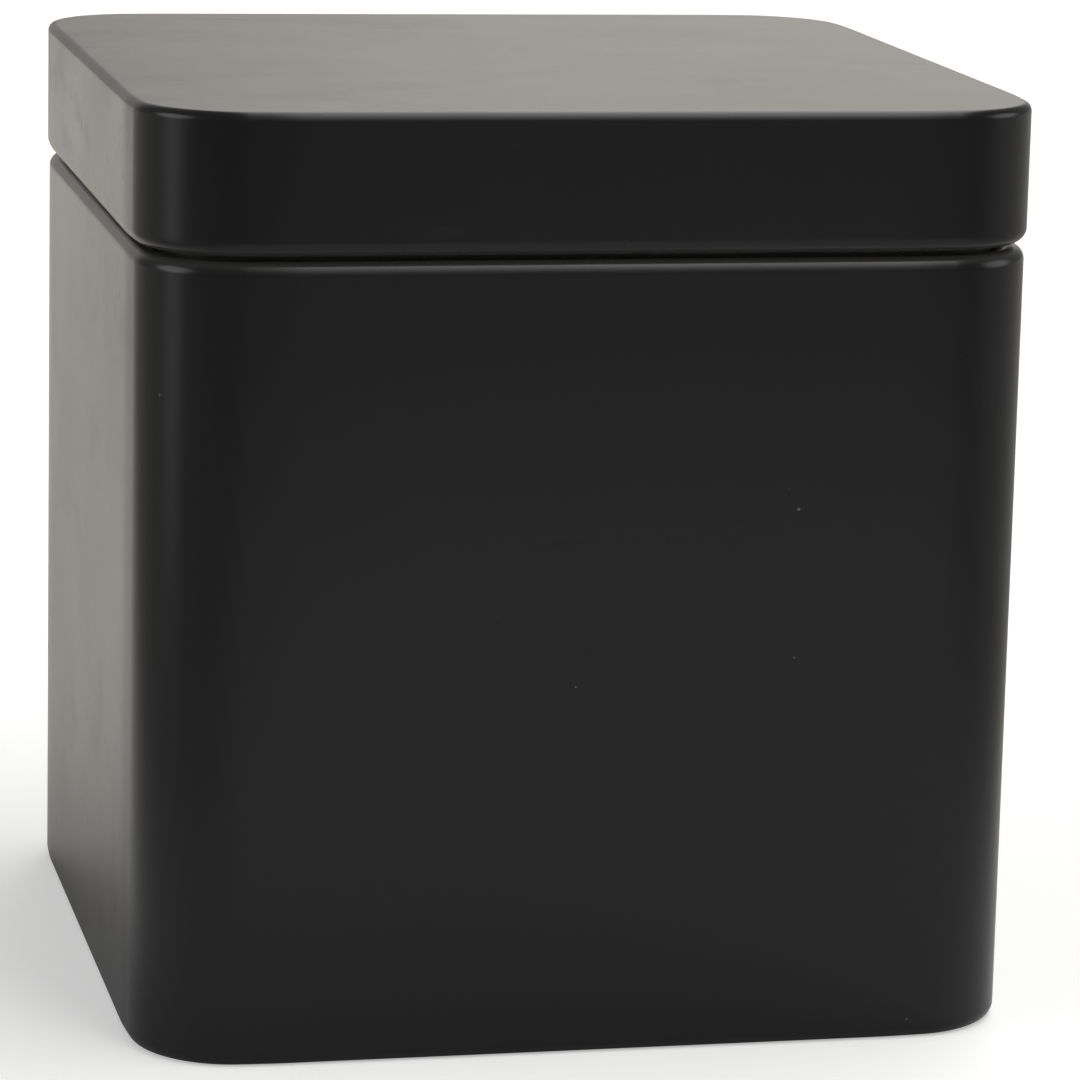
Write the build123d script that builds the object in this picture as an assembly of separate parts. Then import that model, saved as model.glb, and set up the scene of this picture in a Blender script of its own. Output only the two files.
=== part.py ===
from build123d import *
import os

# Square storage tin with a lift-off lid, made of thin tinplate, in millimetres.
# The origin is on the table under the middle of the tin. +Z is up and the front faces -Y.
# Four pressed pieces: a wrapped body wall, a base panel locked into its lower edge,
# an inner sleeve that makes the neck, and a lid that slips over that neck.

# Overall sizes of the closed tin
tin_width = 100.0
tin_depth = 100.0
tin_height = 104.7
corner_radius = 12.5
sheet = 0.3

# Lid
lid_overhang = 0.2
lid_height = 15.5
lid_edge_radius = 1.0
lid_curl_turn = 290.0
lid_panel_margin = 8.0

# How the lid sits on the neck and the shoulder
slip_clearance = 0.2
seat_clearance = 0.5
mouth_room = 3.6

# Body wall: the rolled shoulder at its top and the rounded edge at its foot
shoulder_curl = 3.0
shoulder_curl_turn = 285.0
foot_radius = 1.5

# Inner sleeve
neck_curl_room = 0.1
mouth_curl = 1.8
mouth_curl_turn = 280.0
sleeve_fit = 0.05
sleeve_under_curl = 0.25
sleeve_joggle_height = 2.2
sleeve_joggle_radius = 0.8
sleeve_band_height = 7.4
sleeve_butt_gap = 0.6
sleeve_notch_margin = 0.7

# Four sheets lie in a folded seam, with a hair of room between neighbours
fold_room = 0.03

# Base seam, measured inwards from the outer face of the wall, and the step beside it
base_fold_in = 5.5
base_fold_room = 1.0
base_hook_gap = 0.3
base_step_room = 0.8
base_step_run = 0.9
base_step_rise = 1.2
base_step_radius = 0.5
base_step_land = 1.0

# Stiffening field pressed down in the middle of the base panel
field_in = 18.0
field_corner_radius = 8.0
field_depth = 0.7
field_run = 1.0
field_bend_radius = 0.6
field_land = 0.8

# Lock seam up the middle of the back
seam_half_width = 5.0
seam_fold = 1.6
seam_hook = 1.2
seam_step_room = 0.4
seam_step_run = 0.6
seam_bend_radius = 0.45
seam_foot_room = 0.2
seam_top_room = 0.3

# How far a rim's section runs into the flat panel it joins
panel_lap = 0.5

# How deep a cut goes through the back of the sleeve, and how far its ends run past the sheet
cut_depth = 6.0
cut_lap = 0.6

# Heights that follow from the sizes above
lid_rim_z = tin_height - lid_height
shoulder_z = lid_rim_z - seat_clearance
mouth_z = tin_height - sheet - mouth_room

# Places across the wall, from its outer face inwards, so they are negative
sheet_mid = sheet / 2
neck_face = -(shoulder_curl + neck_curl_room)
neck_mid = neck_face - sheet_mid
band_mid = -(sheet + sleeve_fit + sheet_mid)
joggle_top_z = shoulder_z - shoulder_curl - sleeve_under_curl
joggle_foot_z = joggle_top_z - sleeve_joggle_height
sleeve_foot_z = joggle_foot_z - sleeve_band_height

# The curl on the lid's rim fills the room between its skirt and the neck
lid_curl = lid_overhang - neck_face - slip_clearance

# Middles of the four layers of a folded seam, counted from the outside
fold_pitch = sheet + fold_room
layers = [sheet_mid + n * fold_pitch for n in range(4)]
fold_radius = fold_pitch
fold_reach = fold_radius + sheet_mid

# Places in the base seam and the lock seam that follow from their folds
base_fold_out = foot_radius + base_fold_room
base_step_in = base_fold_in + fold_reach + base_step_room
base_panel_margin = base_step_in + base_step_run + base_step_land
base_panel_mid = layers[3] + base_step_rise
seam_bend_inner = seam_fold + fold_reach + seam_step_room
seam_bend_outer = seam_bend_inner + seam_step_run


def outline(inset):
    """The tin's rounded square, drawn in from the outer face of the body wall."""
    return RectangleRounded(tin_width - 2 * inset, tin_depth - 2 * inset, corner_radius - inset)


def field_outline(inset):
    """The rounded square of the field pressed into the base, or one drawn in from it."""
    corner = field_corner_radius - (inset - field_in)
    return RectangleRounded(tin_width - 2 * inset, tin_depth - 2 * inset, corner)


def across_front(section, inset=0.0):
    """Stands a flat section on the middle of the front, its x outwards and its y upwards."""
    place = Plane(origin=(0, -tin_depth / 2 + inset, 0), x_dir=(0, -1, 0), z_dir=(-1, 0, 0))
    return place * section


def strip(*centreline):
    """A strip of sheet with rounded ends, laid along a centreline."""
    edges = [edge for piece in centreline for edge in piece.edges()]
    return Face(Wire(edges).offset_2d(sheet_mid))


def carried_round(section, inset=0.0):
    """Carries a wall section round the tin's rounded square."""
    return sweep(across_front(section, inset), path=outline(inset).wire())


def plate(inset, low):
    """A flat rounded square of sheet."""
    return extrude(Pos(0, 0, low) * outline(inset), sheet)


def lid_shell():
    """The drawn lid: flat panel, rounded edge, straight skirt and a rim curled inwards."""
    bend = lid_edge_radius - sheet_mid
    top_mid = tin_height - sheet_mid
    curl_centre = (-lid_curl / 2, lid_rim_z + lid_curl / 2)
    section = strip(
        Line((-lid_panel_margin - panel_lap, top_mid), (-lid_edge_radius, top_mid)),
        CenterArc((-lid_edge_radius, tin_height - lid_edge_radius), bend, 90, -90),
        Line((-sheet_mid, tin_height - lid_edge_radius), (-sheet_mid, curl_centre[1])),
        CenterArc(curl_centre, lid_curl / 2 - sheet_mid, 0, -lid_curl_turn),
    )
    ring = carried_round(section, -lid_overhang)
    panel = plate(lid_panel_margin - lid_overhang, tin_height - sheet)
    return ring + panel


def wall_section():
    """Body wall from its rolled shoulder down to the flange and hook that hold the base."""
    curl_centre = (-shoulder_curl / 2, shoulder_z - shoulder_curl / 2)
    foot_bend = foot_radius - sheet_mid
    hook_end = -(base_fold_out + base_hook_gap)
    return strip(
        CenterArc(curl_centre, shoulder_curl / 2 - sheet_mid, shoulder_curl_turn, -shoulder_curl_turn),
        Line((-sheet_mid, curl_centre[1]), (-sheet_mid, foot_radius)),
        CenterArc((-foot_radius, foot_radius), foot_bend, 0, -90),
        Line((-foot_radius, layers[0]), (-base_fold_in, layers[0])),
        CenterArc((-base_fold_in, layers[1]), fold_radius, 270, -180),
        Line((-base_fold_in, layers[2]), (hook_end, layers[2])),
    )


def seam_section():
    """The lock seam seen from above: each edge of the sheet hooks round the other."""
    left = strip(
        Line((-seam_half_width, -layers[0]), (seam_fold, -layers[0])),
        CenterArc((seam_fold, -layers[1]), fold_radius, 90, -180),
        Line((seam_fold, -layers[2]), (-seam_hook, -layers[2])),
    )
    right = strip(
        FilletPolyline(
            (seam_half_width, -layers[0]),
            (seam_bend_outer, -layers[0]),
            (seam_bend_inner, -layers[3]),
            (-seam_fold, -layers[3]),
            radius=seam_bend_radius,
        ),
        CenterArc((-seam_fold, -layers[2]), fold_radius, 270, -180),
        Line((-seam_fold, -layers[1]), (seam_hook, -layers[1])),
    )
    return left, right


def body_wall():
    """One sheet wrapped round the tin, with its two edges locked together at the back."""
    wall = carried_round(wall_section())
    seam_foot_z = layers[3] + sheet_mid + seam_foot_room
    seam_top_z = joggle_foot_z - seam_top_room
    seam_height = seam_top_z - seam_foot_z
    seam_mid_z = (seam_top_z + seam_foot_z) / 2
    opened = 2 * (seam_half_width - sheet)
    back = tin_depth / 2
    wall -= Pos(0, back, seam_mid_z) * Box(opened, 2 * fold_pitch, seam_height)
    for hook in seam_section():
        wall += Pos(0, back, seam_foot_z) * extrude(hook, seam_height)
    return wall


def base_panel():
    """Pressed base: its edge hooks into the wall, then it steps up clear of the table."""
    hook_end = -(base_fold_in - base_hook_gap)
    section = strip(
        Line((hook_end, layers[1]), (-base_fold_out, layers[1])),
        CenterArc((-base_fold_out, layers[2]), fold_radius, 270, 180),
        FilletPolyline(
            (-base_fold_out, layers[3]),
            (-base_step_in, layers[3]),
            (-base_step_in - base_step_run, base_panel_mid),
            (-base_panel_margin - panel_lap, base_panel_mid),
            radius=base_step_radius,
        ),
    )
    low = base_panel_mid - sheet_mid
    inner_in = field_in + 2 * field_land + field_run
    surround = plate(base_panel_margin, low) - extrude(Pos(0, 0, low) * field_outline(field_in), sheet)
    step = strip(
        FilletPolyline(
            (0, base_panel_mid),
            (-field_land, base_panel_mid),
            (-field_land - field_run, base_panel_mid - field_depth),
            (-inner_in + field_in, base_panel_mid - field_depth),
            radius=field_bend_radius,
        )
    )
    pressed = sweep(across_front(step, field_in), path=field_outline(field_in).wire())
    floor = extrude(Pos(0, 0, low - field_depth) * field_outline(inner_in), sheet)
    return carried_round(section) + surround + pressed + floor


def inner_sleeve():
    """The neck strip: curled mouth, joggle under the shoulder curl, band against the wall."""
    curl_radius = mouth_curl / 2 - sheet_mid
    curl_centre = (neck_face - mouth_curl / 2, mouth_z - mouth_curl / 2)
    section = strip(
        CenterArc(curl_centre, curl_radius, mouth_curl_turn, -mouth_curl_turn),
        FilletPolyline(
            (neck_mid, curl_centre[1]),
            (neck_mid, joggle_top_z),
            (band_mid, joggle_foot_z),
            (band_mid, sleeve_foot_z),
            radius=sleeve_joggle_radius,
        ),
    )
    ring = carried_round(section)
    back = tin_depth / 2
    butt_mid_z = (mouth_z + sleeve_foot_z) / 2
    butt_height = mouth_z - sleeve_foot_z + cut_lap
    butt = Pos(0, back, butt_mid_z) * Box(sleeve_butt_gap, 2 * cut_depth, butt_height)
    notch_width = 2 * (seam_bend_outer + sleeve_notch_margin)
    notch_mid_z = (joggle_foot_z + sleeve_foot_z) / 2
    notch_height = joggle_foot_z - sleeve_foot_z + cut_lap
    notch = Pos(0, back, notch_mid_z) * Box(notch_width, 2 * cut_depth, notch_height)
    return ring - butt - notch


pieces = {
    "lid": lid_shell,
    "body_wall": body_wall,
    "base_panel": base_panel,
    "inner_sleeve": inner_sleeve,
}

os.makedirs("parts", exist_ok=True)
for name, make in pieces.items():
    export_step(make(), f"parts/{name}.step")
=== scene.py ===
import bpy
import numpy as np
from mathutils import Matrix, Vector


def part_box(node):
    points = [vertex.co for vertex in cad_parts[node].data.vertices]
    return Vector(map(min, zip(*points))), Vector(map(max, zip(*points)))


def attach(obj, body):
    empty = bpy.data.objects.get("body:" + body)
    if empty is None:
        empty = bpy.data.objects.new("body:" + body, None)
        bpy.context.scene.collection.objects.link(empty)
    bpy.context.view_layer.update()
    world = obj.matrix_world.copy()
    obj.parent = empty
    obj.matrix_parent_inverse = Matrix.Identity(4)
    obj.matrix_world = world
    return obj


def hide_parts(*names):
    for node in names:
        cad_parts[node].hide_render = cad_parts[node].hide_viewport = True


# A square storage tin with a lift-off lid: satin black lacquer outside, bare tinplate inside.
# Each piece is one sheet, worked out as a section of thin sheet carried round a rounded square.
# Lengths are in millimetres until a mesh is made; the frame is in metres.

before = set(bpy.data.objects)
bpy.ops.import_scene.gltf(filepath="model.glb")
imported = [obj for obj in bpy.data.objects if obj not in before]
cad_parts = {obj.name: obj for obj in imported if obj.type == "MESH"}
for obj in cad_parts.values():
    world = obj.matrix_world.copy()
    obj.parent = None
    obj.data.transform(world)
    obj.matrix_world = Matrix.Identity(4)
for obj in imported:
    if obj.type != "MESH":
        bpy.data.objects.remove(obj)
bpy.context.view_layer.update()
mm = 0.001
print("frame loaded:", ", ".join(sorted(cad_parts)))


def nodeReach(node):
    # half width, lowest and highest point of a CAD node, in millimetres
    low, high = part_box(node)
    return high.x / mm, low.z / mm, high.z / mm


sheetMetal = {
    "thickness": 0.3,
    "cornerRadius": 12.5,      # plan corner of the body wall's outer face
    "cornerTightening": 1.6,   # the middle of the bend is this much tighter
    "bendRunOut": 6.0,         # how far the bend dies away into the flat side
    "cornerHold": 10.0,        # how far in the wall's and the sleeve's corners shrink one for one
    "tightnessEnds": 2.5,      # times that hold: how far in the bend's tighter middle has died away
    "foldRoom": 0.03,          # between two layers of a folded seam
    "onBack": 0.999,           # a place on the path's square past this lies on the back
    "foldSteps": 10,
    "sideSteps": 44,
    "cornerSteps": 18,
    "sharpAbove": 35.0,        # degrees; a cut edge stays crisp, a bend stays smooth
}
halfSheet = sheetMetal["thickness"] / 2
foldPitch = sheetMetal["thickness"] + sheetMetal["foldRoom"]
layers = [halfSheet + n * foldPitch for n in range(4)]
foldReach = foldPitch + halfSheet
wallHalf, shoulderZ = nodeReach("body_wall")[::2]

# How the lid's rim, the shoulder and the neck fill the groove between lid and body
groove = {
    "shoulderCurl": 3.0,       # diameter of the roll at the top of the body wall
    "neckRoom": 0.1,           # from that roll to the neck
    "slip": 0.2,               # from the neck to the lid's rim
}
neckIn = groove["shoulderCurl"] + groove["neckRoom"]


# Sections: centrelines of sheet as points (across, height)

def straight(start, end, steps):
    # start + (end - start) * (1 - cos(pi t)) / 2: a line whose points crowd at both ends
    share = (1 - np.cos(np.pi * np.linspace(0, 1, steps + 1))) / 2
    return np.array(start) + (np.array(end) - np.array(start)) * share[:, None]


def bend(centre, radius, fromAngle, turn, steps):
    # centre + radius * (cos a, sin a), with a running from fromAngle through turn, in degrees
    a = np.radians(fromAngle + turn * np.linspace(0, 1, steps + 1))
    return np.array(centre) + radius * np.stack([np.cos(a), np.sin(a)], axis=1)


def joined(*runs):
    # runs that meet end to end, as one centreline
    return np.concatenate([runs[0]] + [run[1:] for run in runs[1:]])


def pressed(corners, radius, runSteps, bendSteps):
    # straight runs between the corners; at each inner corner an arc tangent to both runs,
    # which starts radius * tan(turn / 2) before the corner
    corners = [np.array(c, float) for c in corners]
    runs, here = [], corners[0]
    for before, corner, after in zip(corners, corners[1:], corners[2:]):
        into, out = [(q - p) / np.linalg.norm(q - p) for p, q in ((before, corner), (corner, after))]
        turn = np.arctan2(into[0] * out[1] - into[1] * out[0], into @ out)
        start = corner - into * radius * np.tan(abs(turn) / 2)
        toCentre = np.sign(turn) * np.array([-into[1], into[0]])
        fromAngle = np.degrees(np.arctan2(-toCentre[1], -toCentre[0]))
        arc = bend(start + radius * toCentre, radius, fromAngle, np.degrees(turn), bendSteps)
        runs += [straight(here, start, runSteps), arc]
        here = arc[-1]
    return joined(*runs, straight(here, corners[-1], runSteps))


def twoFaces(line):
    # the centreline moved half a sheet to its left and half a sheet to its right
    run = np.diff(line, axis=0)
    run /= np.linalg.norm(run, axis=1)[:, None]
    way = np.concatenate([run[:1], run[:-1] + run[1:], run[-1:]])
    way /= np.linalg.norm(way, axis=1)[:, None]
    left = np.stack([-way[:, 1], way[:, 0]], axis=1)
    return line + halfSheet * left, line - halfSheet * left


# The path: a rounded square seen from above. It runs from the middle of the back past -X, the front and +X

def roundPath(half, backStops=(), gap=0.0):
    # (half - corner) * square + corner * circle: square runs along the sides from one (±1, ±1) to the next,
    # and circle is the outward normal. along is the place on a side, from -1 to 1.
    # setBack is how far the real bend, tighter in its middle and run out into the sides, lies inside that
    # outline: deepest * (1 - t^2)^2, where t is the distance from the bend's middle over the bend's reach.
    # gap leaves the back open, and backStops are places on the back where a column of points lies
    m = sheetMetal
    corner = m["cornerRadius"] + half - wallHalf - m["cornerTightening"]
    flat, bendHalf = half - corner, corner * np.pi / 4
    stops = [gap, *backStops, flat]
    counts = [max(2, int(m["sideSteps"] / 2 * (b - a) / flat)) for a, b in zip(stops, stops[1:])]
    back = joined(*[straight([a], [b], n) for a, b, n in zip(stops, stops[1:], counts)])[:, 0] / flat
    whole = straight([-1.0], [1.0], m["sideSteps"])[:, 0]
    quarter = np.pi / 2 * np.arange(1, m["cornerSteps"]) / m["cornerSteps"]
    offMiddle = np.abs(quarter - np.pi / 4) * corner
    square, circle, along, fromBend = [], [], [], []

    def addSide(x, y, normal, place):
        square.append(np.stack(np.broadcast_arrays(x, y), axis=1))
        circle.append(np.tile(normal, (len(place), 1)))
        along.append(place)
        fromBend.append(bendHalf + (1 - np.abs(place)) * flat)

    def addBend(x, y, start):
        square.append(np.tile([x, y], (len(quarter), 1)))
        circle.append(np.stack([np.cos(start + quarter), np.sin(start + quarter)], axis=1))
        along.append(np.ones(len(quarter)))
        fromBend.append(offMiddle)

    addSide(-back, 1.0, (0.0, 1.0), back)
    addBend(-1.0, 1.0, np.pi / 2)
    addSide(-1.0, -whole, (-1.0, 0.0), whole)
    addBend(-1.0, -1.0, np.pi)
    addSide(whole, -1.0, (0.0, -1.0), whole)
    addBend(1.0, -1.0, 1.5 * np.pi)
    addSide(1.0, whole, (1.0, 0.0), whole)
    addBend(1.0, 1.0, 0.0)
    closing = back[::-1] if gap else back[:0:-1]
    addSide(closing, 1.0, (0.0, 1.0), closing)
    deepest = (np.sqrt(2) - 1) * m["cornerTightening"]
    t = np.clip(np.concatenate(fromBend) / (bendHalf + m["bendRunOut"]), 0, 1)
    return {
        "half": half,
        "corner": corner,
        "flat": flat,
        "square": np.concatenate(square),
        "circle": np.concatenate(circle),
        "along": np.concatenate(along),
        "setBack": deepest * (1 - t ** 2) ** 2,
    }


def carried(section, path, hold, more=()):
    # every section point on every path point:
    # (half + across - corner) * square + (corner - setBack) * circle.
    # Inwards the corner shrinks one for one as far as hold, then in proportion to nothing at the middle,
    # or through more (place, radius) pairs
    across, height = section[:, 0], section[:, 1]
    corner = path["corner"]
    places = [-path["half"], *[p for p, _ in more], -hold, 0.0, hold]
    radii = [0.0, *[r for _, r in more], corner - hold, corner, corner + hold]
    corner = np.interp(across, places, radii)[:, None, None]
    reach = (path["half"] + across)[:, None, None]
    fading = np.interp(across, [-sheetMetal["tightnessEnds"] * hold, -hold], [0.0, 1.0])
    inward = (fading[:, None] * path["setBack"])[:, :, None]
    plan = (reach - corner) * path["square"] + (corner - inward) * path["circle"]
    up = np.broadcast_to(height[:, None, None], plan.shape[:2] + (1,))
    return np.concatenate([plan, up], axis=2)


def backCells(path, place, halfWidth):
    # which of these places on the path lie on the back, within halfWidth of its middle
    return (place[:, 1] > sheetMetal["onBack"]) & (np.abs(place[:, 0]) * path["flat"] < halfWidth)


def stoodUp(planLine, heights):
    # a sheet that stands on a line in plan: the same points at every height
    plan = np.repeat(planLine[:, None, :], len(heights), axis=1)
    up = np.broadcast_to(heights[None, :, None], plan.shape[:2] + (1,))
    return np.concatenate([plan, up], axis=2)


# Meshes: two grids of points, the finished face and the bare face of one sheet

finishedFace, bareFace = 0, 1


def sheetPart(face, back, kept=None, closed=True, pole=False):
    # each kept cell of the grid gives a quad on either face, and a cut edge where its neighbour is missing;
    # at a pole the first ring is closed by a fan on either face
    rows, columns = face.shape[:2]
    points = np.concatenate([face.reshape(-1, 3), back.reshape(-1, 3)])
    index = np.arange(2 * rows * columns).reshape(2, rows, columns)
    if closed:
        index = np.concatenate([index, index[:, :, :1]], axis=2)
    if kept is None:
        kept = np.ones((rows - 1, index.shape[2] - 1), bool)
    # a, b, c and d go round a cell on the finished face, and e, f, g and h lie behind them
    a, b, c, d = index[0, :-1, :-1], index[0, :-1, 1:], index[0, 1:, 1:], index[0, 1:, :-1]
    e, f, g, h = index[1, :-1, :-1], index[1, :-1, 1:], index[1, 1:, 1:], index[1, 1:, :-1]
    wide = np.pad(kept, 1)
    if closed:
        wide[1:-1, 0], wide[1:-1, -1] = kept[:, -1], kept[:, 0]
    first, last = kept & ~wide[:-2, 1:-1], kept & ~wide[2:, 1:-1]
    near, far = kept & ~wide[1:-1, :-2], kept & ~wide[1:-1, 2:]
    if pole:
        first[0] = False
    cuts = [((a, e, f, b), first), ((d, c, g, h), last), ((a, d, h, e), near), ((c, b, f, g), far)]
    outside = np.stack([a, b, c, d], axis=-1)[kept]
    inside = np.stack([e, h, g, f], axis=-1)[kept]
    edges = np.concatenate([np.stack(corners, axis=-1)[where] for corners, where in cuts])
    faces = np.concatenate([outside, inside, edges])
    skin = np.repeat([finishedFace, bareFace, bareFace], [len(outside), len(inside), len(edges)])
    fans = np.empty((0, 3), int)
    if pole:
        middles = len(points) + np.arange(2)
        points = np.concatenate([points, face[0].mean(axis=0)[None], back[0].mean(axis=0)[None]])
        ring = index[:, 0]
        outFan = np.stack([ring[0, 1:], ring[0, :-1], np.full(columns, middles[0])], axis=1)
        inFan = np.stack([ring[1, :-1], ring[1, 1:], np.full(columns, middles[1])], axis=1)
        fans = np.concatenate([outFan, inFan])
    fanSkin = np.repeat([finishedFace, bareFace], len(fans) // 2)
    return points, faces, skin, fans, fanSkin


def volumeOf(points, faces):
    # a sixth of the sum of p . (q x r) over the triangles: positive where the faces point outwards
    total = 0.0
    for n in range(1, faces.shape[1] - 1):
        p, q, r = points[faces[:, 0]], points[faces[:, n]], points[faces[:, n + 1]]
        total += (p * np.cross(q, r)).sum() / 6
    return total


def sheetPiece(name, parts, materials):
    # the parts as one mesh in metres: faces outwards, unused points dropped, bends smooth, cut edges crisp
    allPoints, allFaces, allSkins, count = [], [], [], 0
    for points, faces, skin, fans, fanSkin in parts:
        if volumeOf(points, faces) + volumeOf(points, fans) < 0:
            faces, fans = faces[:, ::-1], fans[:, ::-1]
        used = np.unique(np.concatenate([faces.ravel(), fans.ravel()]))
        renumber = np.zeros(len(points), int)
        renumber[used] = np.arange(len(used)) + count
        allPoints.append(points[used])
        allFaces += renumber[faces].tolist() + renumber[fans].tolist()
        allSkins += [skin, fanSkin]
        count += len(used)
    mesh = bpy.data.meshes.new(name)
    mesh.from_pydata(np.concatenate(allPoints) * mm, [], allFaces)
    for material in materials:
        mesh.materials.append(material)
    mesh.polygons.foreach_set("material_index", np.concatenate(allSkins).astype(np.int32))
    mesh.shade_smooth()
    mesh.set_sharp_from_angle(angle=np.radians(sheetMetal["sharpAbove"]))
    mesh.update()
    piece = bpy.data.objects.new(name, mesh)
    bpy.context.scene.collection.objects.link(piece)
    print(name, "-", len(mesh.polygons), "faces")
    return piece


# Short ways to add shader nodes

def addNode(tree, kind, **settings):
    node = tree.nodes.new(kind)
    for key, value in settings.items():
        setattr(node, key, value)
    return node


def feed(tree, socket, value):
    # a socket is linked, a plain value is set
    if isinstance(value, bpy.types.NodeSocket):
        tree.links.new(value, socket)
    else:
        socket.default_value = value


def feedAll(tree, node, values):
    for label, value in values.items():
        feed(tree, node.inputs[label], value)


def calc(tree, operation, *values):
    node = addNode(tree, "ShaderNodeMath", operation=operation)
    for socket, value in zip(node.inputs, values):
        feed(tree, socket, value)
    return node.outputs[0]


def ramp(tree, value, low, high, outLow=0.0, outHigh=1.0):
    # a smooth step: outLow below low, outHigh above high
    node = addNode(tree, "ShaderNodeMapRange", interpolation_type="SMOOTHSTEP")
    ends = {"From Min": low, "From Max": high, "To Min": outLow, "To Max": outHigh}
    feedAll(tree, node, {"Value": value, **ends})
    return node.outputs[0]


def noise(tree, vector, scale, detail=2.0, roughness=0.5, distortion=0.0):
    node = addNode(tree, "ShaderNodeTexNoise")
    shape = {"Scale": scale, "Detail": detail, "Roughness": roughness, "Distortion": distortion}
    feedAll(tree, node, {"Vector": vector, **shape})
    return node.outputs["Fac"]


def onObject(tree, scale=(1, 1, 1), turn=(0, 0, 0), shift=(0, 0, 0)):
    # Object coordinates, stretched, turned and shifted
    place = addNode(tree, "ShaderNodeTexCoord")
    node = addNode(tree, "ShaderNodeMapping")
    feed(tree, node.inputs["Vector"], place.outputs["Object"])
    feedAll(tree, node, {"Scale": scale, "Rotation": turn, "Location": shift})
    return node.outputs[0]


def newGroup(name, inputs, outputs):
    group = bpy.data.node_groups.new(name, "ShaderNodeTree")
    for label, value in inputs.items():
        socket = group.interface.new_socket(label, in_out="INPUT", socket_type="NodeSocketFloat")
        socket.default_value = value
    for label in outputs:
        group.interface.new_socket(label, in_out="OUTPUT", socket_type="NodeSocketFloat")
    return group, group.nodes.new("NodeGroupInput").outputs, group.nodes.new("NodeGroupOutput").inputs


# Effects that several finishes share

noiseMiddle = 0.5

skinPattern = {
    "cloudsToSwell": 0.25,     # a cloud is four swells wide
    "cloudShare": 2.0,         # clouds count this much in the roughness, the grain counts 1
}


def makeLacquerSkin(s):
    # sprayed and baked lacquer: height = grain + depth * swell, and
    # roughness = gloss + cloud * (share * (clouds - middle) + grain - middle)
    usual = {"Grain Size": 0.0004, "Swell Size": 0.006, "Swell Depth": 2.0, "Gloss": 0.25, "Cloud": 0.04}
    group, given, result = newGroup("lacquerSkin", usual, ["Height", "Roughness"])
    place = onObject(group)
    grain = noise(group, place, calc(group, "DIVIDE", 1.0, given["Grain Size"]), detail=2.0)
    swell = noise(group, place, calc(group, "DIVIDE", 1.0, given["Swell Size"]), detail=1.0)
    cloudScale = calc(group, "DIVIDE", s["cloudsToSwell"], given["Swell Size"])
    clouds = noise(group, place, cloudScale, detail=4.0, roughness=0.6, distortion=0.4)
    feed(group, result["Height"], calc(group, "MULTIPLY_ADD", swell, given["Swell Depth"], grain))
    offGrain = calc(group, "SUBTRACT", grain, noiseMiddle)
    offClouds = calc(group, "SUBTRACT", clouds, noiseMiddle)
    drift = calc(group, "MULTIPLY_ADD", offClouds, s["cloudShare"], offGrain)
    feed(group, result["Roughness"], calc(group, "MULTIPLY_ADD", drift, given["Cloud"], given["Gloss"]))
    return group


handlingMarks = {
    "smearStretch": (1, 1, 1.4),
    "smearTurn": (0.3, 0.5, 0.2),
    "smearsPerMetre": 38.0,
    "smearFrom": 0.5,          # a smear is where the noise passes this, full at the next
    "smearFull": 0.75,
    "rubStretch": (110, 2600, 320),    # per metre along, across and through a stroke
    "rubFrom": 0.7,
    "rubFull": 0.76,
    "patchesPerMetre": 24.0,   # rubs come in patches
    "patchFrom": 0.55,
    "patchFull": 0.68,
    "patchShift": 0.2,
    "rubWays": [((0.2, 0.1, 0.5), 0.13), ((0.9, 0.7, -0.6), 0.31)],    # turn and shift of each set
    "specksPerMetre": 130.0,
    "speckLargest": 0.035,     # radius and soft edge of a speck, in cells
    "speckEdge": 0.012,
}


def makeHandling(s):
    # what use leaves: soft smears, short hair-fine rubs in two directions, and scattered specks
    usual = {"Smear": 0.5, "Rubs": 0.5, "Specks": 0.5, "Speck Share": 0.06}
    group, given, result = newGroup("handling", usual, ["Smear Mask", "Rub Mask", "Speck Mask"])
    leaning = onObject(group, scale=s["smearStretch"], turn=s["smearTurn"])
    broad = noise(group, leaning, s["smearsPerMetre"], detail=5.0, roughness=0.62, distortion=0.8)
    smear = ramp(group, broad, s["smearFrom"], s["smearFull"])
    feed(group, result["Smear Mask"], calc(group, "MULTIPLY", smear, given["Smear"]))
    rubs = []
    for turn, shift in s["rubWays"]:
        strokes = onObject(group, scale=s["rubStretch"], turn=turn, shift=(shift, 0, 0))
        fine = ramp(group, noise(group, strokes, 1.0, detail=1.0), s["rubFrom"], s["rubFull"])
        moved = onObject(group, shift=(shift, s["patchShift"], 0))
        spread = noise(group, moved, s["patchesPerMetre"], detail=1.0)
        rubs.append(calc(group, "MULTIPLY", fine, ramp(group, spread, s["patchFrom"], s["patchFull"])))
    feed(group, result["Rub Mask"], calc(group, "MULTIPLY", calc(group, "MAXIMUM", *rubs), given["Rubs"]))
    cells = addNode(group, "ShaderNodeTexVoronoi")
    feedAll(group, cells, {"Vector": onObject(group), "Scale": s["specksPerMetre"]})
    draw = addNode(group, "ShaderNodeSeparateColor")
    feed(group, draw.inputs[0], cells.outputs["Color"])
    rare = calc(group, "SUBTRACT", 1.0, given["Speck Share"])
    size = ramp(group, draw.outputs[0], rare, 1.0, 0.0, s["speckLargest"])
    speck = ramp(group, calc(group, "SUBTRACT", size, cells.outputs["Distance"]), 0.0, s["speckEdge"])
    feed(group, result["Speck Mask"], calc(group, "MULTIPLY", speck, given["Specks"]))
    return group


rollingLines = {
    "lineSize": 0.00015,       # metres across and along a line
    "length": 0.02,
    "wallBelow": 0.6,          # how far up a face looks: a wall below this, a flat panel above the next
    "panelAbove": 0.8,
}


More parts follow.
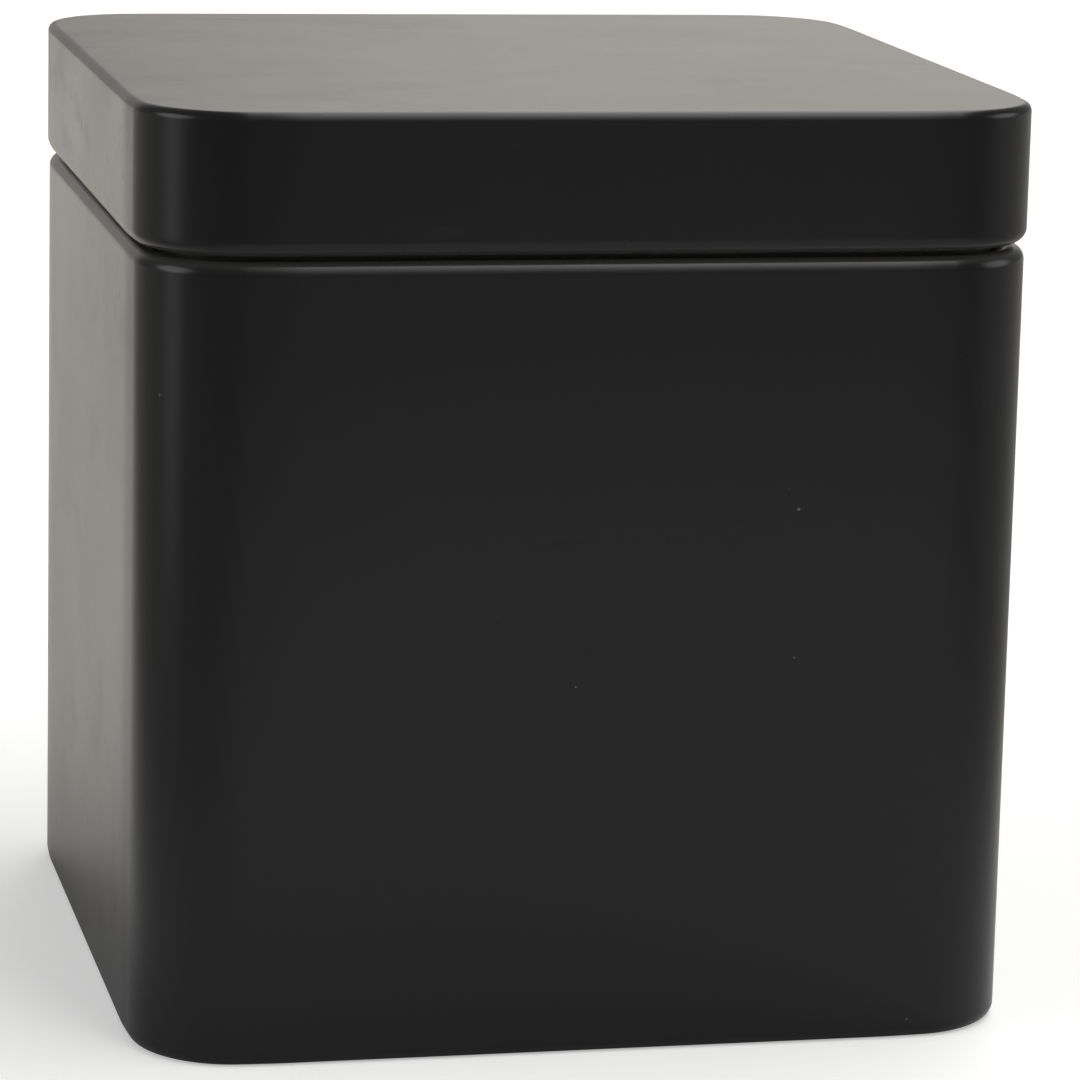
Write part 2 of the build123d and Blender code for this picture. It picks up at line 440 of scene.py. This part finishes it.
def makeRolledGrain(s):
    # rolling lines of tinplate: fine noise stretched along its lines, which run level on walls
    # and along X on flat panels
    usual = {"Line Size": s["lineSize"], "Length": s["length"]}
    group, given, result = newGroup("rolledGrain", usual, ["Lines"])
    place = addNode(group, "ShaderNodeTexCoord")
    fine = calc(group, "DIVIDE", 1.0, given["Line Size"])
    slow = calc(group, "DIVIDE", 1.0, given["Length"])
    lines = []
    for scales in ((slow, slow, fine), (slow, fine, slow)):    # on walls, then on flat panels
        scale = addNode(group, "ShaderNodeCombineXYZ")
        for socket, value in zip(scale.inputs, scales):
            feed(group, socket, value)
        spread = addNode(group, "ShaderNodeVectorMath", operation="MULTIPLY")
        feed(group, spread.inputs[0], place.outputs["Object"])
        feed(group, spread.inputs[1], scale.outputs[0])
        lines.append(noise(group, spread.outputs[0], 1.0, detail=3.0, roughness=0.65))
    facing = addNode(group, "ShaderNodeSeparateXYZ")
    feed(group, facing.inputs[0], place.outputs["Normal"])
    level = ramp(group, calc(group, "ABSOLUTE", facing.outputs[2]), s["wallBelow"], s["panelAbove"])
    mix = addNode(group, "ShaderNodeMix", data_type="FLOAT")
    feedAll(group, mix, {"Factor": level, "A": lines[0], "B": lines[1]})
    feed(group, result["Lines"], mix.outputs["Result"])
    return group


lacquerSkin = makeLacquerSkin(skinPattern)
handling = makeHandling(handlingMarks)
rolledGrain = makeRolledGrain(rollingLines)
print("shared effects ready")


# Finishes

def newMaterial(name):
    material = bpy.data.materials.new(name)
    material.use_nodes = True
    return material, material.node_tree, material.node_tree.nodes["Principled BSDF"]


def placeGroup(tree, group, values):
    node = addNode(tree, "ShaderNodeGroup", node_tree=group)
    feedAll(tree, node, values)
    return node.outputs


def mixColour(tree, factor, first, second):
    node = addNode(tree, "ShaderNodeMix", data_type="RGBA")
    feedAll(tree, node, {"Factor": factor, "A": first, "B": second})
    return node.outputs["Result"]


def bumpFrom(tree, height, distance):
    node = addNode(tree, "ShaderNodeBump")
    feedAll(tree, node, {"Height": height, "Distance": distance})
    return node.outputs[0]


lacquerLook = {
    "colour": (0.0068, 0.007, 0.0076, 1.0),
    "ior": 1.38,
    "gloss": 0.23,             # roughness, before the clouds
    "cloud": 0.04,
    "grainSize": 0.0006,       # metres
    "swellSize": 0.008,
    "swellDepth": 4.0,         # in grains
    "grainHeight": 0.0000012,  # metres
    "smear": 0.5,
    "smearDulls": 0.06,
    "rubs": 0.3,
    "rubDulls": 0.2,
    "rubPale": 0.04,           # how far a rub pales toward the colour of dust and painted glare
    "dustAndGlare": 0.8,               # and how far the groove's dust and painted glare do, at full
    "dustAndGlareColour": (0.06, 0.058, 0.054, 1.0),
    "dustAndGlareAbove": 0.25,         # millimetres from the shoulder up to the groove, where dust gathers and a painted glare lightens the lacquer
    "dustAndGlareCore": 0.26,          # millimetres above and below that height where the dust and painted glare are full
    "dustAndGlareReach": 1.3,          # and where it ends
    "specks": 0.7,
    "speckShare": 0.8,
    "speckColour": (0.16, 0.155, 0.15, 1.0),
    "speckHeight": 6.0,        # in grains
}


def satinLacquer(name, look):
    # near-black lacquer; smears and rubs take some gloss off, specks are small raised pale grains,
    # and dust with a painted glare lightens the colour close to the height of the groove
    material, tree, shader = newMaterial(name)
    skin = placeGroup(tree, lacquerSkin, {
        "Grain Size": look["grainSize"], "Swell Size": look["swellSize"], "Swell Depth": look["swellDepth"],
        "Gloss": look["gloss"], "Cloud": look["cloud"],
    })
    wear = placeGroup(tree, handling, {
        "Smear": look["smear"], "Rubs": look["rubs"],
        "Specks": look["specks"], "Speck Share": look["speckShare"],
    })
    place = addNode(tree, "ShaderNodeSeparateXYZ")
    feed(tree, place.inputs[0], onObject(tree))
    # painted glare: the colour is lifted towards pale grey in a band round the groove's height, standing in
    # for glare there as well as for dust
    dustAndGlareAt = (shoulderZ + look["dustAndGlareAbove"]) * mm
    off = calc(tree, "ABSOLUTE", calc(tree, "SUBTRACT", place.outputs[2], dustAndGlareAt))
    dustAndGlare = ramp(tree, off, look["dustAndGlareCore"] * mm, look["dustAndGlareReach"] * mm, look["dustAndGlare"], 0.0)
    rubsDustAndGlare = calc(tree, "MULTIPLY_ADD", wear["Rub Mask"], look["rubPale"], dustAndGlare)
    paledByDustAndGlare = mixColour(tree, rubsDustAndGlare, look["colour"], look["dustAndGlareColour"])
    feed(tree, shader.inputs["Base Color"], mixColour(tree, wear["Speck Mask"], paledByDustAndGlare, look["speckColour"]))
    smeared = calc(tree, "MULTIPLY_ADD", wear["Smear Mask"], look["smearDulls"], skin["Roughness"])
    rubbed = calc(tree, "MULTIPLY_ADD", wear["Rub Mask"], look["rubDulls"], smeared)
    feed(tree, shader.inputs["Roughness"], rubbed)
    shader.inputs["IOR"].default_value = look["ior"]
    height = calc(tree, "MULTIPLY_ADD", wear["Speck Mask"], look["speckHeight"], skin["Height"])
    feed(tree, shader.inputs["Normal"], bumpFrom(tree, height, look["grainHeight"]))
    return material


tinLook = {
    "colour": (0.6, 0.595, 0.575, 1.0),
    "brightColour": (0.78, 0.775, 0.755, 1.0),
    "roughness": 0.2,
    "lineRoughness": 0.22,
    "lineHeight": 0.0000015,
    "smear": 0.6,
    "smearDulls": 0.12,
    "rubs": 0.6,
    "rubDulls": 0.15,
}


def bareTin(name, look):
    # rolled tinplate: fine lines tint and roughen it, smears and rubs dull it
    material, tree, shader = newMaterial(name)
    lines = placeGroup(tree, rolledGrain, {})["Lines"]
    wear = placeGroup(tree, handling, {"Smear": look["smear"], "Rubs": look["rubs"], "Specks": 0.0})
    feed(tree, shader.inputs["Base Color"], mixColour(tree, lines, look["colour"], look["brightColour"]))
    shader.inputs["Metallic"].default_value = 1.0
    lined = calc(tree, "MULTIPLY_ADD", lines, look["lineRoughness"], look["roughness"])
    smeared = calc(tree, "MULTIPLY_ADD", wear["Smear Mask"], look["smearDulls"], lined)
    rubbed = calc(tree, "MULTIPLY_ADD", wear["Rub Mask"], look["rubDulls"], smeared)
    feed(tree, shader.inputs["Roughness"], rubbed)
    feed(tree, shader.inputs["Normal"], bumpFrom(tree, lines, look["lineHeight"]))
    return material


lidLacquer = satinLacquer("lidLacquer", {**lacquerLook, "rubs": 0.6, "rubPale": 0.5})
bodyLacquer = satinLacquer("bodyLacquer", lacquerLook)
neckLacquer = satinLacquer("neckLacquer", {**lacquerLook, "rubs": 1.0, "gloss": 0.28})
baseLacquer = satinLacquer("baseLacquer", {**lacquerLook, "rubs": 0.9, "gloss": 0.28})
tinplate = bareTin("tinplate", tinLook)
print("finishes ready")


# Lid: flat panel, rounded edge, skirt, rim curled inwards

lidSizes = {
    "edgeRadius": 1.0,
    "curlTurn": 290.0,
    "panelMargin": 8.0,        # in from the skirt; further in, the rings of points shrink to the middle
    "dish": 0.15,              # how far the panel sinks in the middle
    "poleRing": 0.5,           # from the middle to the first ring of points
    "panelSteps": 26,
    "marginSteps": 8,
    "edgeSteps": 12,
    "skirtSteps": 14,
    "curlSteps": 32,
}


def panelDish(points, depth, reach):
    # the panel sinks by depth * (1 - (x/reach)^2)^2 * (1 - (y/reach)^2)^2, level again at reach
    hollow = np.clip(1 - (points[..., :2] / reach) ** 2, 0, None) ** 2
    points[..., 2] -= depth * hollow[..., 0] * hollow[..., 1]
    return points


def makeLid(s):
    # the section from the middle out: panel, rounded edge, down the skirt, and a rim rolled inwards
    half, rimZ, topZ = nodeReach("lid")
    topMid, edge = topZ - halfSheet, s["edgeRadius"]
    curl = half - wallHalf + neckIn - groove["slip"]
    curlMiddle = (-curl / 2, rimZ + curl / 2)
    section = joined(
        straight((-half + s["poleRing"], topMid), (-s["panelMargin"], topMid), s["panelSteps"]),
        straight((-s["panelMargin"], topMid), (-edge, topMid), s["marginSteps"]),
        bend((-edge, topZ - edge), edge - halfSheet, 90, -90, s["edgeSteps"]),
        straight((-halfSheet, topZ - edge), (-halfSheet, curlMiddle[1]), s["skirtSteps"]),
        bend(curlMiddle, curl / 2 - halfSheet, 0, -s["curlTurn"], s["curlSteps"]),
    )
    outer, inner = [carried(line, roundPath(half), s["panelMargin"]) for line in twoFaces(section)]
    reach = half - s["panelMargin"] / 2    # the panel is level again half a margin in from the skirt
    upper = section[:, 1] > topZ - edge
    for face in (outer, inner):
        face[upper] = panelDish(face[upper], s["dish"], reach)
    return sheetPiece("tinLid", [sheetPart(outer, inner, pole=True)], [lidLacquer, tinplate])


tinLid = makeLid(lidSizes)
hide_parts("lid")
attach(tinLid, "lid")


# Inner sleeve: curled mouth, neck, joggle under the shoulder, band against the wall; butt gap at the back

sleeveSizes = {
    "fit": 0.05,               # between the band and the wall
    "mouthCurl": 1.8,
    "mouthCurlTurn": 280.0,
    "joggleHeight": 2.2,
    "joggleRadius": 0.8,
    "bandHeight": 7.4,
    "buttGap": 0.6,
    "notchHalf": 3.785,        # half the width cut out of the band round the lock seam
    "curlSteps": 26,
    "neckSteps": 10,
    "joggleSteps": 8,
}


def makeSleeve(s):
    # the section from the mouth down: a curl rolled inwards, the neck, the joggle and the band;
    # the band's cells beside the lock seam are left out
    bandFootZ, mouthZ = nodeReach("inner_sleeve")[1:]
    neckMid = -(neckIn + halfSheet)
    bandMid = -(sheetMetal["thickness"] + s["fit"] + halfSheet)
    joggleFootZ = bandFootZ + s["bandHeight"]
    joggleTopZ = joggleFootZ + s["joggleHeight"]
    curlMiddle = (-(neckIn + s["mouthCurl"] / 2), mouthZ - s["mouthCurl"] / 2)
    neck = [(neckMid, curlMiddle[1]), (neckMid, joggleTopZ), (bandMid, joggleFootZ), (bandMid, bandFootZ)]
    turn = s["mouthCurlTurn"]
    section = joined(
        bend(curlMiddle, s["mouthCurl"] / 2 - halfSheet, turn, -turn, s["curlSteps"]),
        pressed(neck, s["joggleRadius"], s["neckSteps"], s["joggleSteps"]),
    )
    path = roundPath(wallHalf, backStops=(s["notchHalf"],), gap=s["buttGap"] / 2)
    outer, inner = [carried(line, path, sheetMetal["cornerHold"]) for line in twoFaces(section)]
    rowHeight = (section[:-1, 1] + section[1:, 1]) / 2
    place = (path["square"][:-1] + path["square"][1:]) / 2
    inNotch = backCells(path, place, s["notchHalf"])
    kept = ~((rowHeight < joggleFootZ)[:, None] & inNotch[None, :])
    return sheetPiece("neckSleeve", [sheetPart(outer, inner, kept, closed=False)], [neckLacquer, tinplate])


neckSleeve = makeSleeve(sleeveSizes)
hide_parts("inner_sleeve")
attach(neckSleeve, "body")


# Body wall: shoulder curled inwards, wall, rounded foot, flange and hook; lock seam up the back

wallSizes = {
    "shoulderCurlTurn": 285.0,
    "footRadius": 1.5,
    "foldIn": 5.5,             # where the flange turns back, in from the wall's outer face
    "foldRoom": 1.0,           # from the foot's bend to the base panel's fold
    "hookGap": 0.3,
    "bow": 0.15,               # how far each side sinks in the middle
    "curlSteps": 32,
    "besideSleeveSteps": 8,
    "wallSteps": 40,
    "footSteps": 10,
    "flangeSteps": 6,
    "hookSteps": 5,
}

seamSizes = {
    "halfWidth": 5.0,
    "fold": 1.6,
    "hook": 1.2,
    "stepRoom": 0.4,
    "stepRun": 0.6,
    "bendRadius": 0.45,
    "topRoom": 0.3,
    "heightSteps": 24,
    "outerSteps": 10,
    "stepSteps": 6,
    "hookSteps": 4,
}
slotHalf = seamSizes["halfWidth"] - sheetMetal["thickness"]


def sideBow(along, height, depth, top):
    # inwards by depth * (1 - along^2)^2 * sin^2(pi * height / top): nothing at the corners, foot and top
    upright = np.sin(np.pi * np.clip(height / top, 0, 1)) ** 2
    return depth * (1 - along ** 2) ** 2 * upright


def seamLines(seam):
    # the two edges of the wall in plan, each hooked round the other. The right one is turned end for end,
    # so that both run towards +X where they lie on the wall's own line
    fold, hook, steps = seam["fold"], seam["hook"], sheetMetal["foldSteps"]
    bendIn = fold + foldReach + seam["stepRoom"]
    stepOut = (bendIn + seam["stepRun"], -layers[0])
    left = joined(
        straight((-slotHalf, -layers[0]), (fold, -layers[0]), seam["outerSteps"]),
        bend((fold, -layers[1]), foldPitch, 90, -180, steps),
        straight((fold, -layers[2]), (-hook, -layers[2]), seam["hookSteps"]),
    )
    stepped = [(slotHalf, -layers[0]), stepOut, (bendIn, -layers[3]), (-fold, -layers[3])]
    right = joined(
        pressed(stepped, seam["bendRadius"], seam["stepSteps"], seam["stepSteps"]),
        bend((-fold, -layers[2]), foldPitch, 270, -180, steps),
        straight((-fold, -layers[1]), (hook, -layers[1]), seam["hookSteps"]),
    )
    return left, right[::-1]


def makeBody(s, seam):
    # the section from the top down: the shoulder's curl, the wall, the foot's bend, the flange and its hook;
    # cells at the middle of the back are left out, and the two hooked edges of the seam stand there
    curl, foot = groove["shoulderCurl"], s["footRadius"]
    curlMiddle = (-curl / 2, shoulderZ - curl / 2)
    bandFootZ = nodeReach("inner_sleeve")[1]
    seamTopZ = bandFootZ + sleeveSizes["bandHeight"] - seam["topRoom"]
    hookEnd = -(foot + s["foldRoom"] + s["hookGap"])
    turn = s["shoulderCurlTurn"]
    section = joined(
        bend(curlMiddle, curl / 2 - halfSheet, turn, -turn, s["curlSteps"]),
        straight((-halfSheet, curlMiddle[1]), (-halfSheet, seamTopZ), s["besideSleeveSteps"]),
        straight((-halfSheet, seamTopZ), (-halfSheet, foot), s["wallSteps"]),
        bend((-foot, foot), foot - halfSheet, 0, -90, s["footSteps"]),
        straight((-foot, layers[0]), (-s["foldIn"], layers[0]), s["flangeSteps"]),
        bend((-s["foldIn"], layers[1]), foldPitch, 270, -180, sheetMetal["foldSteps"]),
        straight((-s["foldIn"], layers[2]), (hookEnd, layers[2]), s["hookSteps"]),
    )
    path = roundPath(wallHalf, backStops=(slotHalf,))
    outer, inner = [carried(line, path, sheetMetal["cornerHold"]) for line in twoFaces(section)]
    for face in (outer, inner):
        inward = sideBow(path["along"], face[..., 2], s["bow"], bandFootZ)
        face[..., :2] -= inward[..., None] * path["circle"]
    rowHeight = (section[:-1, 1] + section[1:, 1]) / 2
    beside = (section[:-1, 0] == -halfSheet) & (rowHeight < seamTopZ) & (rowHeight > foot)
    place = (path["square"] + np.roll(path["square"], -1, axis=0)) / 2
    inSlot = backCells(path, place, slotHalf)
    parts = [sheetPart(outer, inner, ~(beside[:, None] & inSlot[None, :]))]
    heights = straight([foot], [seamTopZ], seam["heightSteps"])[:, 0]
    for line in seamLines(seam):
        faces = [stoodUp(f + np.array([0.0, wallHalf]), heights) for f in twoFaces(line)]
        for face in faces:
            face[..., 1] -= sideBow(face[..., 0] / path["flat"], face[..., 2], s["bow"], bandFootZ)
        parts.append(sheetPart(*faces, closed=False))
    return sheetPiece("tinBody", parts, [bodyLacquer, tinplate])


tinBody = makeBody(wallSizes, seamSizes)
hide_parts("body_wall")
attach(tinBody, "body")


# Base panel: hooked into the wall's fold, stepped up, with a shallow field pressed down in the middle

baseSizes = {
    "stepRoom": 0.8,
    "stepRun": 0.9,
    "stepRise": 1.2,
    "stepRadius": 0.5,
    "stepLand": 1.0,
    "fieldIn": 18.0,
    "fieldCorner": 8.0,
    "fieldDepth": 0.7,
    "fieldRun": 1.0,
    "fieldRadius": 0.6,
    "fieldLand": 0.8,
    "poleRing": 0.5,
    "fieldSteps": 18,
    "slopeSteps": 2,
    "panelSteps": 10,
    "stepSteps": 5,
    "bendSteps": 6,
    "hookSteps": 5,
}


def makeBase(s, wall):
    # the section from the middle out: the pressed field, its slope, the panel, the step down and the fold
    foldOut = wall["footRadius"] + wall["foldRoom"]
    hookEnd = -(wall["foldIn"] - wall["hookGap"])
    stepIn = wall["foldIn"] + foldReach + s["stepRoom"]
    stepEnd = stepIn + s["stepRun"]
    margin = stepEnd + s["stepLand"]
    panelZ = layers[3] + s["stepRise"]
    fieldZ = panelZ - s["fieldDepth"]
    slopeIn = s["fieldIn"] + s["fieldLand"]
    slopeEnd = slopeIn + s["fieldRun"]
    fieldEnd = slopeEnd + s["fieldLand"]
    field = [(-fieldEnd, fieldZ), (-slopeEnd, fieldZ), (-slopeIn, panelZ), (-s["fieldIn"], panelZ)]
    step = [(-margin, panelZ), (-stepEnd, panelZ), (-stepIn, layers[3]), (-foldOut, layers[3])]
    section = joined(
        straight((-wallHalf + s["poleRing"], fieldZ), (-fieldEnd, fieldZ), s["fieldSteps"]),
        pressed(field, s["fieldRadius"], s["slopeSteps"], s["bendSteps"]),
        straight((-s["fieldIn"], panelZ), (-margin, panelZ), s["panelSteps"]),
        pressed(step, s["stepRadius"], s["stepSteps"], s["bendSteps"]),
        bend((-foldOut, layers[2]), foldPitch, 90, -180, sheetMetal["foldSteps"]),
        straight((-foldOut, layers[1]), (hookEnd, layers[1]), s["hookSteps"]),
    )
    fieldInner = s["fieldCorner"] - (fieldEnd - s["fieldIn"])
    more = [(-fieldEnd, fieldInner), (-s["fieldIn"], s["fieldCorner"])]
    upper, lower = [carried(line, roundPath(wallHalf), margin, more) for line in twoFaces(section)]
    return sheetPiece("basePanel", [sheetPart(lower, upper, pole=True)], [baseLacquer, tinplate])


basePanel = makeBase(baseSizes, wallSizes)
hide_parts("base_panel")
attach(basePanel, "body")
print("pieces ready")


# Studio: a pale floor, and a soft surround that the lacquer mirrors

white = (1.0, 1.0, 1.0, 1.0)

studio = {
    "floorHalf": 4.0,
    "floorColour": (0.78, 0.775, 0.765, 1.0),
    "floorRoughness": 0.9,
    "floorLift": 0.4,          # added for camera rays only, so that the open floor reads as white paper
    # What the tin mirrors of the floor is a painted pool of light: a pale lane that slants from back left to
    # front right
    "bounceBack": (0.84, 0.82, 0.765, 1.0),
    "bounceAhead": (0.8, 0.8, 0.82, 1.0),
    "bounceTurn": 0.06,        # how far behind and ahead of the tin's middle one turns into the other
    "bounceSlant": 0.25,
    "bounceSideFrom": 0.06,    # painted shade: the lane darkens towards both sides
    "bounceSideTo": 0.22,
    "bounceSide": 0.52,
    "bounceFrontFrom": -0.25,  # and painted shade darkens it towards the camera
    "bounceFrontTo": -0.65,
    "bounceFront": 0.5,
    "bounceFarFrom": 0.35,     # and painted light makes it paler a long way behind
    "bounceFarTo": 0.8,
    "bounceFar": 1.15,
}

surround = {
    "room": 0.25,              # strength of the whole surround
    "stripMiddle": 0.26,       # a long soft strip overhead, from front to back, a little to the right
    "stripFull": 0.04,         # where it is full and where it ends, across from that middle
    "stripEdge": 0.22,
    "stripLow": 0.2,           # its strength at the horizon, and how much it gains straight up
    "stripTop": 4.8,
    "stripPower": 1.8,
    "sweepColour": (1.0, 0.96, 0.9, 1.0),
    "sweepFrom": 0.76,         # a warm sweep behind: how far back the directions look where it starts
    "sweepFull": 0.9,          # and where it is full
    "sweep": 0.26,
    "windows": [
        # direction, cosine at its edge, cosine where it is full, strength
        ((-0.962, -0.084, 0.259), 0.899, 0.985, 2.4),
        ((0.965, -0.136, 0.225), 0.914, 0.99, 1.8),
    ],
}

# A faint card at the left, close to the tin
softCard = {
    "place": (-0.33, -0.08, 0.06),
    "aim": (0.0, -0.05, 0.06),
    "width": 0.1,
    "height": 0.12,
    "radiance": 0.5,
}


def isCamera(tree):
    return addNode(tree, "ShaderNodeLightPath").outputs["Is Camera Ray"]


def makeFloor(s):
    # a flat square; the camera sees plain paper, and the tin mirrors a painted pool of light and shade, tint
    # * beside * ahead * behind
    reach = s["floorHalf"]
    mesh = bpy.data.meshes.new("paleFloor")
    corners = [(-reach, -reach, 0), (reach, -reach, 0), (reach, reach, 0), (-reach, reach, 0)]
    mesh.from_pydata(corners, [], [(0, 1, 2, 3)])
    floor = bpy.data.objects.new("paleFloor", mesh)
    bpy.context.scene.collection.objects.link(floor)
    material, tree, shader = newMaterial("palePaper")
    place = addNode(tree, "ShaderNodeSeparateXYZ")
    feed(tree, place.inputs[0], onObject(tree))
    x, y = place.outputs[:2]
    # painted light and shade in the floor's colour, seen only by rays other than camera rays: a pale lane,
    # darker to its sides and towards the camera
    away = calc(tree, "ABSOLUTE", calc(tree, "MULTIPLY_ADD", y, s["bounceSlant"], x))
    beside = ramp(tree, away, s["bounceSideFrom"], s["bounceSideTo"], 1.0, s["bounceSide"])
    ahead = ramp(tree, y, s["bounceFrontTo"], s["bounceFrontFrom"], s["bounceFront"], 1.0)
    behind = ramp(tree, y, s["bounceFarFrom"], s["bounceFarTo"], 1.0, s["bounceFar"])
    paintedBounce = addNode(tree, "ShaderNodeVectorMath", operation="SCALE")
    turned = ramp(tree, y, -s["bounceTurn"], s["bounceTurn"])
    feed(tree, paintedBounce.inputs["Vector"], mixColour(tree, turned, s["bounceAhead"], s["bounceBack"]))
    level = calc(tree, "MULTIPLY", behind, calc(tree, "MULTIPLY", beside, ahead))
    feed(tree, paintedBounce.inputs["Scale"], level)
    seen = isCamera(tree)
    feed(tree, shader.inputs["Base Color"], mixColour(tree, seen, paintedBounce.outputs[0], s["floorColour"]))
    shader.inputs["Roughness"].default_value = s["floorRoughness"]
    shader.inputs["Specular IOR Level"].default_value = 0.0
    shader.inputs["Emission Color"].default_value = white
    feed(tree, shader.inputs["Emission Strength"], calc(tree, "MULTIPLY", seen, s["floorLift"]))
    material.cycles.emission_sampling = "NONE"
    mesh.materials.append(material)


def makeSurround(s):
    # white for the camera. As light, strength = room + strip + sweep + windows, each a smooth step of
    # direction, and the strip grows with the height of the direction to its power
    world = bpy.data.worlds.new("surround")
    world.use_nodes = True
    bpy.context.scene.world = world
    tree = world.node_tree
    sky = tree.nodes["Background"]
    way = addNode(tree, "ShaderNodeTexCoord").outputs["Generated"]
    parts = addNode(tree, "ShaderNodeSeparateXYZ")
    feed(tree, parts.inputs[0], way)
    x, y, z = parts.outputs
    off = calc(tree, "ABSOLUTE", calc(tree, "SUBTRACT", x, s["stripMiddle"]))
    across = ramp(tree, off, s["stripFull"], s["stripEdge"], 1.0, 0.0)
    climb = calc(tree, "POWER", calc(tree, "MAXIMUM", z, 0.0), s["stripPower"])
    strip = calc(tree, "MULTIPLY", across, calc(tree, "MULTIPLY_ADD", climb, s["stripTop"], s["stripLow"]))
    sweep = ramp(tree, y, s["sweepFrom"], s["sweepFull"])
    total = calc(tree, "MULTIPLY_ADD", sweep, s["sweep"], calc(tree, "ADD", strip, s["room"]))
    for direction, edge, full, strength in s["windows"]:
        toward = addNode(tree, "ShaderNodeVectorMath", operation="DOT_PRODUCT")
        feed(tree, toward.inputs[0], way)
        feed(tree, toward.inputs[1], direction)
        window = ramp(tree, toward.outputs["Value"], edge, full)
        total = calc(tree, "MULTIPLY_ADD", window, strength, total)
    seen = isCamera(tree)
    tint = mixColour(tree, sweep, white, s["sweepColour"])
    feed(tree, sky.inputs["Color"], mixColour(tree, seen, tint, white))
    unseen = calc(tree, "SUBTRACT", 1.0, seen)
    feed(tree, sky.inputs["Strength"], calc(tree, "MULTIPLY_ADD", total, unseen, seen))


def makeSoftCard(s):
    # an area light's energy is radiance * pi * area
    light = bpy.data.lights.new("softCard", "AREA")
    light.shape = "RECTANGLE"
    light.size = s["width"]
    light.size_y = s["height"]
    light.energy = s["radiance"] * np.pi * s["width"] * s["height"]
    card = bpy.data.objects.new("softCard", light)
    card.location = s["place"]
    card.rotation_euler = (Vector(s["aim"]) - Vector(s["place"])).to_track_quat("-Z", "Y").to_euler()
    card.visible_camera = False
    bpy.context.scene.collection.objects.link(card)


makeFloor(studio)
makeSurround(surround)
makeSoftCard(softCard)
print("studio ready")


# Camera: a long lens, a little above the lid and left of the front

cameraSet = {
    "place": (-0.119744, -0.567097, 0.169286),
    "yaw": 13.01,              # degrees, clockwise from straight on
    "pitch": -11.376,
    "roll": 1.473,
    "lens": 166.714,
    "sensor": 36.0,
    "shift": (-0.0556, -0.037),
    "nearest": 0.01,           # metres
    "farthest": 20.0,
}


def makeCamera(s):
    # rolled about its own axis, raised from straight down by 90 degrees and the pitch, then yawed
    data = bpy.data.cameras.new("camera")
    data.lens = s["lens"]
    data.sensor_width = s["sensor"]
    data.shift_x, data.shift_y = s["shift"]
    data.clip_start = s["nearest"]
    data.clip_end = s["farthest"]
    camera = bpy.data.objects.new("camera", data)
    yaw = Matrix.Rotation(np.radians(-s["yaw"]), 4, "Z")
    pitch = Matrix.Rotation(np.radians(90 + s["pitch"]), 4, "X")
    roll = Matrix.Rotation(np.radians(s["roll"]), 4, "Z")
    camera.matrix_world = Matrix.Translation(s["place"]) @ yaw @ pitch @ roll
    bpy.context.scene.collection.objects.link(camera)
    bpy.context.scene.camera = camera


makeCamera(cameraSet)
bpy.context.scene.view_settings.view_transform = "Standard"
